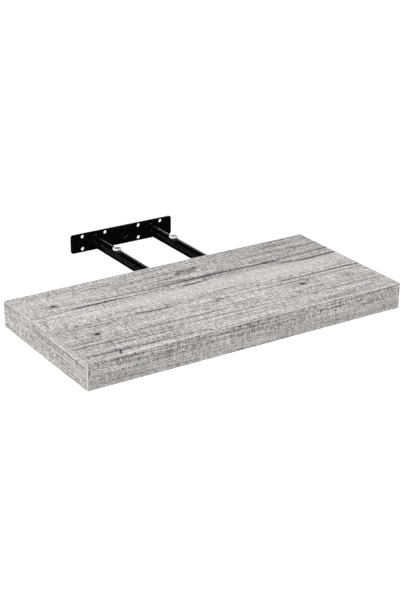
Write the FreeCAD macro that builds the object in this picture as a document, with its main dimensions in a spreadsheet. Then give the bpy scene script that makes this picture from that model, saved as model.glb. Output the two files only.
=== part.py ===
import FreeCAD, Part
import math
import os
import Sketcher
from FreeCAD import Placement, Rotation, Vector

# Floating wall shelf: a hollow board that slides over two steel tubes.
#
# The frame: +Z is up and the wall is the plane Y = 0. The origin is the middle of the wall plate's
# back face, level with the tubes' axes. -Y points out of the wall, so the board's front is at the
# lowest Y. "Left" is -X, as seen by someone who faces the wall. Lengths are in millimetres.

os.makedirs("parts", exist_ok=True)
doc = FreeCAD.newDocument("FloatingShelf")

# ---------------------------------------------------------------- driving dimensions
SIZES = {
    # the board
    "board_length": 500,  # board from end to end, over the edge bands
    "board_depth": 235,  # board from front to back, over the edge bands
    "board_thickness": 38,  # board from its underside to its top
    "board_offset": -42,  # bracket's middle to the board's middle, along +X
    "tip_in_board": 15,  # cap's nose inside the board, in the modelled position
    "panel_thickness": 3,  # top and bottom panels
    "band_thickness": 1,  # edge bands on the board's four sides
    "rear_rail_depth": 44,  # rear rail, front to back
    "end_rail_width": 30,  # end rails, side to side
    "guide_wall": 15,  # wood at each side of a tube's passage
    "cell_size": 36,  # honeycomb cell across its flats, wall middle to wall middle
    "paper_wall": 0.6,  # glued paper between two cells
    # the bracket
    "plate_thickness": 3,  # wall plate
    "plate_gap": 1,  # wall plate to the panel above and below it, when home
    "plate_end_margin": 20,  # outer holes to the end of the wall plate
    "plate_corner_radius": 4,  # corners of the wall plate
    "plate_edge_chamfer": 0.4,  # edge round the front of the wall plate
    "hole_diameter": 6,  # screw holes in the wall plate
    "hole_row_spacing": 20,  # upper to lower row of holes
    "hole_pair_spacing": 40,  # the two columns of holes beside one tube
    "tube_spacing": 100,  # axis to axis of the two tubes
    "tube_diameter": 17,  # outside of the support tubes
    "tube_wall": 1.5,  # wall of the support tubes
    "tube_length": 196,  # support tubes, from the plate to their open ends
    "weld_leg": 3,  # fillet weld, along the tube and along the plate
    # the caps in the tubes' ends
    "cap_lip": 1.5,  # cap's collar, beyond the tube all round
    "cap_collar_length": 4,  # cap's collar, in front of the tube's end
    "cap_plug_length": 12,  # cap's plug, inside the tube
    "cap_nose_chamfer": 0.8,  # front edge of the cap's collar
    "cap_skin": 2,  # cap's front and the wall of its hollow plug
    "cap_fit": 0.05,  # cap's plug to the inside of the tube, all round
    # the levelling screws
    "screw_distance": 72,  # plate's front face to the axis of a levelling screw
    "seat_depth": 0.6,  # flat milled into the tube's crest under a pressure ring
    "seat_room": 0.3,  # seat beyond the pressure ring, all round
    "thread_diameter": 6,  # levelling screw's thread
    "thread_fit": 0.05,  # levelling screw to the rivet nut, all round
    "nut_head_diameter": 10,  # rivet nut's head
    "nut_head_thickness": 0.5,  # rivet nut's head
    "nut_shank_diameter": 8.6,  # rivet nut's shank
    "nut_hole_fit": 0.05,  # rivet nut's shank to its hole in the tube, all round
    "nut_bulge_diameter": 10.4,  # rivet nut's bulge, set behind the tube's wall
    "nut_bulge_height": 2.4,  # rivet nut's bulge
    "nut_bulge_drop": 2.4,  # tube's inner crest to the top of the bulge
    "nut_length": 10,  # rivet nut under its head
    "ring_diameter": 14,  # pressure ring
    "ring_height": 2.6,  # pressure ring
    "ring_floor": 1.4,  # pressure ring's floor, which the screw's neck passes
    "ring_recess_diameter": 9.6,  # recess in the pressure ring that holds the screw's head
    "ring_lift": 0.1,  # rivet nut's head to the pressure ring, screwed down
    "ring_travel": 0.8,  # how far the screw lifts the pressure ring
    "neck_diameter": 5,  # levelling screw's neck, in the ring's floor
    "neck_fit": 0.05,  # neck to the ring's floor, all round and at both faces
    "screw_head_diameter": 9,  # levelling screw's head
    "screw_head_height": 0.9,  # levelling screw's head
    "screw_length": 11,  # levelling screw's thread
    "slot_width": 1.4,  # screwdriver slot
    "slot_depth": 0.6,  # screwdriver slot
    # the room that the bracket has in the board
    "passage_side_room": 0.3,  # cap's collar to each side of its passage
    "ring_head_room": 0.3,  # raised pressure ring to the top of the passage
    "tip_room": 4,  # cap to the front rail, when home
    "pocket_end_room": 2,  # wall plate to each end of its pocket
    "pocket_room": 1,  # weld bead to the floor of the plate's pocket, when home
}

sheet = doc.addObject("Spreadsheet::Sheet", "Sizes")
for row, (name, amount) in enumerate(SIZES.items(), start=1):
    sheet.set(f"A{row}", name)
    sheet.set(f"B{row}", str(amount))
    sheet.setAlias(f"B{row}", name)
doc.recompute()

# ---------------------------------------------------------------- places worked out from them
TUBE_RADIUS = "(Sizes.tube_diameter / 2)"
BORE_RADIUS = f"({TUBE_RADIUS} - Sizes.tube_wall)"
CAP_RADIUS = f"({TUBE_RADIUS} + Sizes.cap_lip)"
CORE_HEIGHT = "(Sizes.board_thickness - 2 * Sizes.panel_thickness)"
PLATE_HEIGHT = f"({CORE_HEIGHT} - 2 * Sizes.plate_gap)"
PLATE_WIDTH = "(Sizes.tube_spacing + Sizes.hole_pair_spacing + 2 * Sizes.plate_end_margin)"

# Heights above the tube's axis, up through one levelling screw.
SEAT = f"({TUBE_RADIUS} - Sizes.seat_depth)"
NUT_TOP = f"({SEAT} + Sizes.nut_head_thickness)"
RING_BOTTOM = f"({NUT_TOP} + Sizes.ring_lift)"
RING_FLOOR = f"({RING_BOTTOM} + Sizes.ring_floor)"
RING_TOP = f"({RING_BOTTOM} + Sizes.ring_height)"

# The wall to the cap's nose, and the passage that a tube, its cap and its pressure ring run in.
NOSE_OUT = "(Sizes.plate_thickness + Sizes.tube_length + Sizes.cap_collar_length)"
PASSAGE_HALF_WIDTH = f"({CAP_RADIUS} + Sizes.passage_side_room)"
PASSAGE_HALF_HEIGHT = f"({RING_TOP} + Sizes.ring_travel + Sizes.ring_head_room)"
PASSAGE_DEPTH = f"({NOSE_OUT} + Sizes.tip_room)"
POCKET_DEPTH = "(Sizes.plate_thickness + Sizes.weld_leg + Sizes.pocket_room)"
POCKET_HALF_LENGTH = f"({PLATE_WIDTH} / 2 + Sizes.pocket_end_room)"
GUIDE_HALF_WIDTH = f"({PASSAGE_HALF_WIDTH} + Sizes.guide_wall)"

# The wall to the board's back face, and the board outside and inside its edge bands.
PULL_OUT = f"({NOSE_OUT} - Sizes.tip_in_board)"
BOARD_LEFT = "(Sizes.board_offset - Sizes.board_length / 2)"
CORE_LEFT = f"({BOARD_LEFT} + Sizes.band_thickness)"
CORE_RIGHT = "(Sizes.board_offset + Sizes.board_length / 2 - Sizes.band_thickness)"
CORE_LENGTH = "(Sizes.board_length - 2 * Sizes.band_thickness)"
CORE_DEPTH = "(Sizes.board_depth - 2 * Sizes.band_thickness)"
BOARD_FRONT = f"(-{PULL_OUT} - Sizes.board_depth)"
CORE_FRONT = f"({BOARD_FRONT} + Sizes.band_thickness)"
CORE_BACK = f"(-{PULL_OUT} - Sizes.band_thickness)"
BAY_BACK = f"({CORE_BACK} - Sizes.rear_rail_depth)"
BAY_FRONT = f"(-{PULL_OUT} - {PASSAGE_DEPTH})"
BAY_DEPTH = f"({PASSAGE_DEPTH} - Sizes.band_thickness - Sizes.rear_rail_depth)"
FRONT_RAIL_DEPTH = f"(Sizes.board_depth - Sizes.band_thickness - {PASSAGE_DEPTH})"

SIDES = (("left", "-1"), ("right", "1"))


# ---------------------------------------------------------------- ways of making a sub-part
def number(rule):
    """What a rule comes to with the sheet's present sizes."""
    return float(sheet.evalExpression(rule))


def new_body(label):
    body = doc.addObject("PartDesign::Body", label)
    body.Label = label
    return body


def place(part, x="0", y="0", z="0"):
    for axis, rule in zip("xyz", (x, y, z)):
        part.setExpression(f"Placement.Base.{axis}", rule)


def origin_feature(body, role):
    return next(item for item in body.Origin.OriginFeatures if item.Role == role)


def sketch_on(body, role, name, height="0"):
    """A sketch on one of the body's own planes, or parallel to it at a height."""
    sketch = body.newObject("Sketcher::SketchObject", f"{body.Label}_{name}")
    sketch.AttachmentSupport = (origin_feature(body, role), "")
    sketch.MapMode = "FlatFace"
    sketch.setExpression("AttachmentOffset.Base.z", height)
    return sketch


def hold_point(sketch, curve, point, x, y):
    """Tie a point of a sketch's curve to its two coordinates."""
    for kind, rule in (("DistanceX", x), ("DistanceY", y)):
        index = sketch.addConstraint(Sketcher.Constraint(kind, curve, point, number(rule)))
        sketch.setExpression(f"Constraints[{index}]", rule)


def outline(sketch, corners):
    """A closed outline of straight lines through corners that are pairs of rules."""
    points = [Vector(number(x), number(y), 0) for x, y in corners]
    first = sketch.GeometryCount
    count = len(points)
    for i, point in enumerate(points):
        sketch.addGeometry(Part.LineSegment(point, points[(i + 1) % count]), False)
    for i, (x, y) in enumerate(corners):
        sketch.addConstraint(Sketcher.Constraint("Coincident", first + i, 2, first + (i + 1) % count, 1))
        hold_point(sketch, first + i, 1, x, y)


def rectangle(sketch, left, right, low, high):
    outline(sketch, ((left, low), (right, low), (right, high), (left, high)))


def circle(sketch, x, y, diameter):
    centre = Vector(number(x), number(y), 0)
    curve = sketch.addGeometry(Part.Circle(centre, Vector(0, 0, 1), number(diameter) / 2), False)
    hold_point(sketch, curve, 3, x, y)
    index = sketch.addConstraint(Sketcher.Constraint("Diameter", curve, number(diameter)))
    sketch.setExpression(f"Constraints[{index}]", diameter)


def pad(body, sketch, length):
    feature = body.newObject("PartDesign::Pad", f"{sketch.Name}_pad")
    feature.Profile = sketch
    feature.setExpression("Length", length)
    doc.recompute()
    return feature


def cut(body, sketch, length=None):
    """Pocket a sketch on the far side of its normal from the usual one, and see that it cuts."""
    before = body.Shape.Volume
    feature = body.newObject("PartDesign::Pocket", f"{sketch.Name}_pocket")
    feature.Profile = sketch
    feature.Reversed = True
    if length is None:
        feature.Type = "ThroughAll"
    else:
        feature.setExpression("Length", length)
    doc.recompute()
    if not feature.Shape.Volume < before:
        raise ValueError(f"{feature.Name} cuts nothing")
    return feature


def turn(body, sketch):
    """Revolve a profile about its sketch's upright axis."""
    feature = body.newObject("PartDesign::Revolution", f"{sketch.Name}_turned")
    feature.Profile = sketch
    feature.ReferenceAxis = (sketch, ["V_Axis"])
    feature.Angle = 360
    doc.recompute()
    return feature


def dress(body, kind, base, wanted, amount):
    """Fillet or chamfer those edges of a feature that the test picks."""
    names = [f"Edge{i}" for i, edge in enumerate(base.Shape.Edges, start=1) if wanted(edge)]
    feature = body.newObject(f"PartDesign::{kind}", f"{base.Name}_{kind.lower()}")
    feature.Base = (base, names)
    feature.setExpression("Radius" if kind == "Fillet" else "Size", amount)
    doc.recompute()
    return feature


# ---------------------------------------------------------------- the bracket
def wall_plate():
    """Flat steel bar with rounded corners and eight screw holes, four beside each tube."""
    body = new_body("wall_plate")
    face = sketch_on(body, "XZ_Plane", "face")
    half_width = f"({PLATE_WIDTH} / 2)"
    half_height = f"({PLATE_HEIGHT} / 2)"
    rectangle(face, f"-{half_width}", half_width, f"-{half_height}", half_height)
    bar = pad(body, face, "Sizes.plate_thickness")

    def runs_through(edge):
        return abs(edge.BoundBox.YLength - number("Sizes.plate_thickness")) < 1e-6

    rounded = dress(body, "Fillet", bar, runs_through, "Sizes.plate_corner_radius")

    def is_front_rim(edge):
        return edge.BoundBox.YMax < -number("Sizes.plate_thickness") + 1e-6

    dress(body, "Chamfer", rounded, is_front_rim, "Sizes.plate_edge_chamfer")

    # Two holes of the upper right quarter, mirrored down and across.
    drill = sketch_on(body, "XZ_Plane", "holes")
    for side in ("-", "+"):
        column = f"(Sizes.tube_spacing / 2 {side} Sizes.hole_pair_spacing / 2)"
        circle(drill, column, "Sizes.hole_row_spacing / 2", "Sizes.hole_diameter")
    holes = body.newObject("PartDesign::Pocket", "wall_plate_holes_pocket")
    holes.Profile = drill
    holes.Type = "ThroughAll"
    holes.Midplane = True
    doc.recompute()
    mirrors = []
    for name, role in (("down", "XY_Plane"), ("across", "YZ_Plane")):
        mirror = body.newObject("PartDesign::Mirrored", f"wall_plate_{name}")
        mirror.MirrorPlane = (origin_feature(body, role), [""])
        mirrors.append(mirror)
    pattern = body.newObject("PartDesign::MultiTransform", "wall_plate_all_holes")
    pattern.Originals = [holes]
    pattern.Transformations = mirrors
    body.Tip = pattern
    return body


def support_tube(side, sign):
    """Round steel tube, with a flat seat and a hole for the rivet nut in its crest."""
    body = new_body(f"support_tube_{side}")
    ends = sketch_on(body, "XZ_Plane", "section")
    circle(ends, "0", "0", "Sizes.tube_diameter")
    circle(ends, "0", "0", f"2 * {BORE_RADIUS}")
    pad(body, ends, "Sizes.tube_length")
    seat = sketch_on(body, "XY_Plane", "seat", SEAT)
    circle(seat, "0", "-Sizes.screw_distance", "Sizes.ring_diameter + 2 * Sizes.seat_room")
    cut(body, seat)
    hole = sketch_on(body, "XY_Plane", "nut_hole")
    circle(hole, "0", "-Sizes.screw_distance", "Sizes.nut_shank_diameter + 2 * Sizes.nut_hole_fit")
    cut(body, hole)
    place(body, f"{sign} * Sizes.tube_spacing / 2", "-Sizes.plate_thickness")
    return body


def weld_bead(side, sign):
    """Fillet weld round the root of a tube."""
    body = new_body(f"weld_bead_{side}")
    section = sketch_on(body, "XY_Plane", "section")
    outline(section, (
        (TUBE_RADIUS, "0"),
        (TUBE_RADIUS, "-Sizes.weld_leg"),
        (f"{TUBE_RADIUS} + Sizes.weld_leg", "0"),
    ))
    turn(body, section)
    place(body, f"{sign} * Sizes.tube_spacing / 2", "-Sizes.plate_thickness")
    return body


def tube_cap(side, sign):
    """Moulded cap: a hollow plug in the tube's open end and a collar that runs in the passage."""
    body = new_body(f"tube_cap_{side}")
    profile = sketch_on(body, "XY_Plane", "profile")
    nose = "(-Sizes.cap_collar_length)"
    plug = f"({BORE_RADIUS} - Sizes.cap_fit)"
    outline(profile, (
        ("0", nose),
        (f"{CAP_RADIUS} - Sizes.cap_nose_chamfer", nose),
        (CAP_RADIUS, f"{nose} + Sizes.cap_nose_chamfer"),
        (CAP_RADIUS, "0"),
        (plug, "0"),
        (plug, "Sizes.cap_plug_length"),
        (f"{plug} - Sizes.cap_skin", "Sizes.cap_plug_length"),
        (f"{plug} - Sizes.cap_skin", f"{nose} + Sizes.cap_skin"),
        ("0", f"{nose} + Sizes.cap_skin"),
    ))
    turn(body, profile)
    place(body, f"{sign} * Sizes.tube_spacing / 2", "-Sizes.plate_thickness - Sizes.tube_length")
    return body


# ---------------------------------------------------------------- the levelling screws
# Turning the slotted screw in its rivet nut lifts a nylon ring, which bears on the top of the
# passage. The ring hangs on the screw's neck, between the head and the shoulder of the thread.
def place_on_tube(body, sign):
    place(body, f"{sign} * Sizes.tube_spacing / 2", "-Sizes.plate_thickness - Sizes.screw_distance")


def rivet_nut(side, sign):
    """Threaded insert, set so that it bulges behind the tube's wall."""
    body = new_body(f"rivet_nut_{side}")
    profile = sketch_on(body, "XZ_Plane", "profile")
    bore = "(Sizes.thread_diameter / 2 + Sizes.thread_fit)"
    head = "(Sizes.nut_head_diameter / 2)"
    shank = "(Sizes.nut_shank_diameter / 2)"
    bulge = "(Sizes.nut_bulge_diameter / 2)"
    bulge_top = f"({BORE_RADIUS} - Sizes.nut_bulge_drop)"
    bulge_bottom = f"({bulge_top} - Sizes.nut_bulge_height)"
    foot = f"({SEAT} - Sizes.nut_length)"
    outline(profile, (
        (bore, foot),
        (shank, foot),
        (shank, bulge_bottom),
        (bulge, bulge_bottom),
        (bulge, bulge_top),
        (shank, bulge_top),
        (shank, SEAT),
        (head, SEAT),
        (head, NUT_TOP),
        (bore, NUT_TOP),
    ))
    turn(body, profile)
    place_on_tube(body, sign)
    return body


def pressure_ring(side, sign):
    """Nylon ring with a recess for the screw's head and a hole for its neck."""
    body = new_body(f"pressure_ring_{side}")
    profile = sketch_on(body, "XZ_Plane", "profile")
    hole = "(Sizes.neck_diameter / 2 + Sizes.neck_fit)"
    recess = "(Sizes.ring_recess_diameter / 2)"
    rim = "(Sizes.ring_diameter / 2)"
    outline(profile, (
        (hole, RING_BOTTOM),
        (rim, RING_BOTTOM),
        (rim, RING_TOP),
        (recess, RING_TOP),
        (recess, RING_FLOOR),
        (hole, RING_FLOOR),
    ))
    turn(body, profile)
    place_on_tube(body, sign)
    return body


def levelling_screw(side, sign):
    """Slotted screw whose neck holds the pressure ring captive."""
    body = new_body(f"levelling_screw_{side}")
    profile = sketch_on(body, "XZ_Plane", "profile")
    thread = "(Sizes.thread_diameter / 2)"
    neck = "(Sizes.neck_diameter / 2)"
    head = "(Sizes.screw_head_diameter / 2)"
    shoulder = f"({RING_BOTTOM} - Sizes.neck_fit)"
    head_bottom = f"({RING_FLOOR} + Sizes.neck_fit)"
    head_top = f"({head_bottom} + Sizes.screw_head_height)"
    foot = f"({shoulder} - Sizes.screw_length)"
    outline(profile, (
        ("0", foot),
        (thread, foot),
        (thread, shoulder),
        (neck, shoulder),
        (neck, head_bottom),
        (head, head_bottom),
        (head, head_top),
        ("0", head_top),
    ))
    turn(body, profile)
    slot = sketch_on(body, "XY_Plane", "slot", f"{head_top} - Sizes.slot_depth")
    half = "(Sizes.slot_width / 2)"
    rectangle(slot, f"-{head}", head, f"-{half}", half)
    cut(body, slot)
    place_on_tube(body, sign)
    return body


# ---------------------------------------------------------------- the board
def plank(label, length, depth, height, x, y, z):
    """A piece cut square from sheet or strip, from its lowest corner."""
    body = new_body(label)
    plan = sketch_on(body, "XY_Plane", "plan")
    rectangle(plan, "0", length, "0", depth)
    pad(body, plan, height)
    place(body, x, y, z)
    return body


def panels():
    """Top and bottom panels, between the edge bands."""
    sheet_size = (CORE_LENGTH, CORE_DEPTH, "Sizes.panel_thickness")
    top = f"({CORE_HEIGHT} / 2)"
    under = "(-Sizes.board_thickness / 2)"
    return [
        plank("top_panel", *sheet_size, CORE_LEFT, CORE_FRONT, top),
        plank("bottom_panel", *sheet_size, CORE_LEFT, CORE_FRONT, under),
    ]


def frame_rails():
    """Front rail, full length, and the end rails between it and the rear rail."""
    low = f"(-{CORE_HEIGHT} / 2)"
    end_size = ("Sizes.end_rail_width", BAY_DEPTH, CORE_HEIGHT)
    right = f"({CORE_RIGHT} - Sizes.end_rail_width)"
    return [
        plank("front_rail", CORE_LENGTH, FRONT_RAIL_DEPTH, CORE_HEIGHT, CORE_LEFT, CORE_FRONT, low),
        plank("end_rail_left", *end_size, CORE_LEFT, BAY_FRONT, low),
        plank("end_rail_right", *end_size, right, BAY_FRONT, low),
    ]


def rear_rail():
    """Rear rail with a pocket for the wall plate and a mortise for each tube."""
    body = new_body("rear_rail")
    plan = sketch_on(body, "XY_Plane", "plan")
    pocket_floor = f"(Sizes.band_thickness - {POCKET_DEPTH})"
    outline(plan, (
        (CORE_LEFT, "-Sizes.rear_rail_depth"),
        (CORE_RIGHT, "-Sizes.rear_rail_depth"),
        (CORE_RIGHT, "0"),
        (POCKET_HALF_LENGTH, "0"),
        (POCKET_HALF_LENGTH, pocket_floor),
        (f"-{POCKET_HALF_LENGTH}", pocket_floor),
        (f"-{POCKET_HALF_LENGTH}", "0"),
        (CORE_LEFT, "0"),
    ))
    pad(body, plan, CORE_HEIGHT)
    mortises = sketch_on(body, "XZ_Plane", "mortises")
    middle = f"({CORE_HEIGHT} / 2)"
    for _, sign in SIDES:
        axis = f"({sign} * Sizes.tube_spacing / 2)"
        rectangle(
            mortises,
            f"{axis} - {PASSAGE_HALF_WIDTH}",
            f"{axis} + {PASSAGE_HALF_WIDTH}",
            f"{middle} - {PASSAGE_HALF_HEIGHT}",
            f"{middle} + {PASSAGE_HALF_HEIGHT}",
        )
    cut_through = body.newObject("PartDesign::Pocket", "rear_rail_mortises_pocket")
    cut_through.Profile = mortises
    cut_through.Type = "ThroughAll"
    cut_through.Midplane = True
    place(body, "0", CORE_BACK, f"-{middle}")
    return body


def guide_half(side, sign, level, angle):
    """Half of a tube's guide, grooved so that two halves glued together make the passage."""
    body = new_body(f"guide_{side}_{level}")
    section = sketch_on(body, "XZ_Plane", "section")
    half_core = f"({CORE_HEIGHT} / 2)"
    outline(section, (
        (f"-{GUIDE_HALF_WIDTH}", "0"),
        (f"-{GUIDE_HALF_WIDTH}", half_core),
        (GUIDE_HALF_WIDTH, half_core),
        (GUIDE_HALF_WIDTH, "0"),
        (PASSAGE_HALF_WIDTH, "0"),
        (PASSAGE_HALF_WIDTH, PASSAGE_HALF_HEIGHT),
        (f"-{PASSAGE_HALF_WIDTH}", PASSAGE_HALF_HEIGHT),
        (f"-{PASSAGE_HALF_WIDTH}", "0"),
    ))
    pad(body, section, BAY_DEPTH)
    body.Placement = Placement(Vector(), Rotation(Vector(0, 1, 0), angle))
    place(body, f"{sign} * Sizes.tube_spacing / 2", BAY_BACK)
    return body


def honeycomb(label, left, right):
    """Expanded paper core, trimmed to the bay that it fills from panel to panel."""
    width = number(right) - number(left)
    depth = number(BAY_DEPTH)
    height = number(CORE_HEIGHT)
    cell = number("Sizes.cell_size")
    row_step = cell * math.sqrt(3) / 2
    void_radius = (cell - number("Sizes.paper_wall")) / math.sqrt(3)
    corners = [Vector(void_radius, 0, 0)] * 7
    corners = [Rotation(Vector(0, 0, 1), 30 + 60 * i).multVec(corner) for i, corner in enumerate(corners)]
    void = Part.Face(Part.makePolygon(corners)).extrude(Vector(0, 0, height))
    voids = []
    for row in range(math.ceil(depth / row_step) + 1):
        shift = cell / 2 if row % 2 else 0
        for column in range(math.ceil(width / cell) + 1):
            copy = void.copy()
            copy.translate(Vector(column * cell + shift, row * row_step, 0))
            voids.append(copy)
    trimmed = Part.makeBox(width, depth, height).cut(voids)
    core = doc.addObject("Part::Feature", label)
    core.Label = label
    core.Shape = max(trimmed.Solids, key=lambda solid: solid.Volume)
    core.Placement = Placement(Vector(), Rotation())
    place(core, left, BAY_FRONT, f"-{CORE_HEIGHT} / 2")
    return core


def honeycombs():
    """The core's three bays: outside the left guide, between the guides, outside the right one."""
    left_axis = "(-Sizes.tube_spacing / 2)"
    right_axis = "(Sizes.tube_spacing / 2)"
    bays = (
        ("left", f"({CORE_LEFT} + Sizes.end_rail_width)", f"({left_axis} - {GUIDE_HALF_WIDTH})"),
        ("middle", f"({left_axis} + {GUIDE_HALF_WIDTH})", f"({right_axis} - {GUIDE_HALF_WIDTH})"),
        ("right", f"({right_axis} + {GUIDE_HALF_WIDTH})", f"({CORE_RIGHT} - Sizes.end_rail_width)"),
    )
    return [honeycomb(f"honeycomb_{name}", left, right) for name, left, right in bays]


def edge_bands():
    """Bands on the front and the two ends. The front and rear bands cover the end bands' edges."""
    low = "(-Sizes.board_thickness / 2)"
    end_size = ("Sizes.band_thickness", CORE_DEPTH, "Sizes.board_thickness")
    return [
        plank(
            "front_band", "Sizes.board_length", "Sizes.band_thickness", "Sizes.board_thickness",
            BOARD_LEFT, BOARD_FRONT, low,
        ),
        plank("end_band_left", *end_size, BOARD_LEFT, CORE_FRONT, low),
        plank("end_band_right", *end_size, CORE_RIGHT, CORE_FRONT, low),
    ]


def rear_band():
    """Band on the back, open where the wall plate goes in."""
    body = new_body("rear_band")
    face = sketch_on(body, "XZ_Plane", "face")
    half_board = "(Sizes.board_thickness / 2)"
    half_core = f"({CORE_HEIGHT} / 2)"
    board_right = "(Sizes.board_offset + Sizes.board_length / 2)"
    rectangle(face, BOARD_LEFT, board_right, f"-{half_board}", half_board)
    rectangle(face, f"-{POCKET_HALF_LENGTH}", POCKET_HALF_LENGTH, f"-{half_core}", half_core)
    pad(body, face, "Sizes.band_thickness")
    place(body, "0", f"-{PULL_OUT}")
    return body


# ---------------------------------------------------------------- the whole shelf
parts = [wall_plate()]
for side, sign in SIDES:
    parts += [support_tube(side, sign), weld_bead(side, sign), tube_cap(side, sign)]
    parts += [rivet_nut(side, sign), pressure_ring(side, sign), levelling_screw(side, sign)]
    parts += [guide_half(side, sign, "upper", 0), guide_half(side, sign, "lower", 180)]
parts += panels() + frame_rails() + [rear_rail()]
parts += honeycombs() + edge_bands() + [rear_band()]
doc.recompute()

for item in doc.Objects:
    if "Invalid" in item.State or "Error" in item.State:
        raise ValueError(f"{item.Label} did not compute")
for part in parts:
    if part.Shape.isNull() or not part.Shape.isValid():
        raise ValueError(f"{part.Label} has no valid shape")
for part in parts:
    part.Shape.exportStep(f"parts/{part.Label}.step")
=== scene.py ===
import math

import bmesh
import bpy
from mathutils import Matrix, Vector


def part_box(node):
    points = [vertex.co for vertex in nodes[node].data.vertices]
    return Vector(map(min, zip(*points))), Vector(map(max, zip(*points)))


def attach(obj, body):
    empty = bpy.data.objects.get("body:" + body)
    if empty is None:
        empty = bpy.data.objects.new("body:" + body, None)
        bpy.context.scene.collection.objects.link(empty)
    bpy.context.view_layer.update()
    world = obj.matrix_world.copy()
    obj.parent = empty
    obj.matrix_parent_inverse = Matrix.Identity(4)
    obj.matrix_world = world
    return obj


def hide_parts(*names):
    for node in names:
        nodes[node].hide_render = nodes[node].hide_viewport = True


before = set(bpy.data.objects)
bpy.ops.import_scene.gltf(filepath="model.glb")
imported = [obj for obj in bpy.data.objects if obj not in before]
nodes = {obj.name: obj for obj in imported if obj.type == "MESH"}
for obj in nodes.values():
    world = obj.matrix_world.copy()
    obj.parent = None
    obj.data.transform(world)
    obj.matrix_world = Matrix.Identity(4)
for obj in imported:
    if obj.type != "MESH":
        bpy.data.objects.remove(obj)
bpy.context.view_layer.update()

# ---------------------------------------------------------------- viewpoint
# A long lens a little over two metres away, to the left of the shelf and above it, looking down
# along the board. Its focal length is given in pixels of the finished render's height.
MM = 0.001  # metres
RENDER_HEIGHT, FOCAL_LENGTH, SENSOR = 601, 1400.74, 36
lens_place = Vector((-1023.80, -1797.28, 758.84)) * MM
turn_left, tilt_down, roll = (math.radians(angle) for angle in (-33.134, 22.865, 0.476))
behind = Vector((
    math.sin(turn_left) * math.cos(tilt_down),
    -math.cos(turn_left) * math.cos(tilt_down),
    math.sin(tilt_down),
))
level = behind.cross(Vector((0, 0, -1))).normalized()
upright = level.cross(-behind)
across = math.cos(roll) * level + math.sin(roll) * upright
upward = -math.sin(roll) * level + math.cos(roll) * upright
camera_data = bpy.data.cameras.new("long_lens")
camera_data.sensor_width = SENSOR
camera_data.lens = FOCAL_LENGTH * SENSOR / RENDER_HEIGHT
camera_data.clip_start, camera_data.clip_end = 0.05, 50
camera = bpy.data.objects.new("viewpoint", camera_data)
camera.matrix_world = Matrix.Translation(lens_place) @ Matrix((across, upward, behind)).transposed().to_4x4()
bpy.context.scene.collection.objects.link(camera)
bpy.context.scene.camera = camera


# ---------------------------------------------------------------- wall plate
# Flat steel bar, 180 x 30 x 3 mm, with rounded corners and eight screw holes, stoved in black
# powder coat. The coat is thicker than paint, so it rounds every edge and has a faint orange peel.
CORNER_RADIUS, HOLE_RADIUS, COAT_ROUNDING = 4 * MM, 3 * MM, 0.4 * MM
HOLE_COLUMNS, HOLE_ROWS = (-70, -30, 30, 70), (-10, 10)
# The coat's black, and the grey of the painted glints on it.
COAT_BLACK, GLINT_GREY = (0.0020, 0.0020, 0.0021, 1), (0.12, 0.116, 0.112, 1)
# Painted glints, lighter grey in the coat's colour, in millimetres: centre, half length, half width, angle
# in degrees.
PAINTED_GLINTS = (
    ((7.5, -3, -4.0), 4.6, 0.45, 31),
    ((3.4, -3, -6.6), 2.6, 0.25, 40),
    ((0.2, -3, 1.5), 2.4, 0.2, 62),
)
GLINT_DEPTH = 2.5


def plug(tree, node, inputs):
    """Set a node's inputs. Each gets a plain value or another node's output."""
    for name, value in inputs.items():
        socket = node.inputs[name]
        if isinstance(value, bpy.types.NodeSocket):
            tree.links.new(value, socket)
        else:
            socket.default_value = value


def fit(tree, kind, inputs=None, **settings):
    """Put one shader node in a tree, with its settings and inputs."""
    node = tree.nodes.new("ShaderNode" + kind)
    for name, value in settings.items():
        setattr(node, name, value)
    plug(tree, node, inputs or {})
    return node


def new_finish(name):
    """A material with nothing in it but a Principled shader, and that shader."""
    finish = bpy.data.materials.new(name)
    finish.use_nodes = True
    finish.node_tree.nodes.clear()
    shader = fit(finish.node_tree, "BsdfPrincipled")
    fit(finish.node_tree, "OutputMaterial", {"Surface": shader.outputs["BSDF"]})
    return finish, finish.node_tree, shader


def in_millimetres(tree):
    """Object coordinates in millimetres."""
    source = fit(tree, "TexCoord").outputs["Object"]
    return fit(tree, "VectorMath", {0: source, "Scale": 1000.0}, operation="SCALE").outputs["Vector"]


def new_effect(name, takes, gives):
    """A shader node group with named sockets, and its two end nodes."""
    group = bpy.data.node_groups.new(name, "ShaderNodeTree")
    for label, kind, value in takes:
        socket = group.interface.new_socket(label, in_out="INPUT", socket_type="NodeSocket" + kind)
        if value is not None:
            socket.default_value = value
    for label in gives:
        group.interface.new_socket(label, in_out="OUTPUT", socket_type="NodeSocketFloat")
    return group, group.nodes.new("NodeGroupInput"), group.nodes.new("NodeGroupOutput")


def use_effect(tree, group, inputs):
    return fit(tree, "Group", inputs, node_tree=group)


def maths(tree, operation, *values, clamp=False):
    node = fit(tree, "Math", dict(enumerate(values)), operation=operation, use_clamp=clamp)
    return node.outputs["Value"]


def vector_maths(tree, operation, *values):
    node = fit(tree, "VectorMath", dict(enumerate(values)), operation=operation)
    return node.outputs["Value" if operation in ("LENGTH", "DOT_PRODUCT") else "Vector"]


def noise(tree, vector, scale, detail=2.0, roughness=0.5, distortion=0.0):
    node = fit(tree, "TexNoise", {
        "Vector": vector, "Scale": scale, "Detail": detail,
        "Roughness": roughness, "Distortion": distortion,
    })
    return node.outputs["Fac"]


def spread(tree, value, low, high, to_low=0.0, to_high=1.0, smooth=False):
    """Map a value's range to another, held at its ends."""
    node = fit(tree, "MapRange", {
        "Value": value, "From Min": low, "From Max": high, "To Min": to_low, "To Max": to_high,
    }, clamp=True, interpolation_type="SMOOTHSTEP" if smooth else "LINEAR")
    return node.outputs["Result"]


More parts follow.
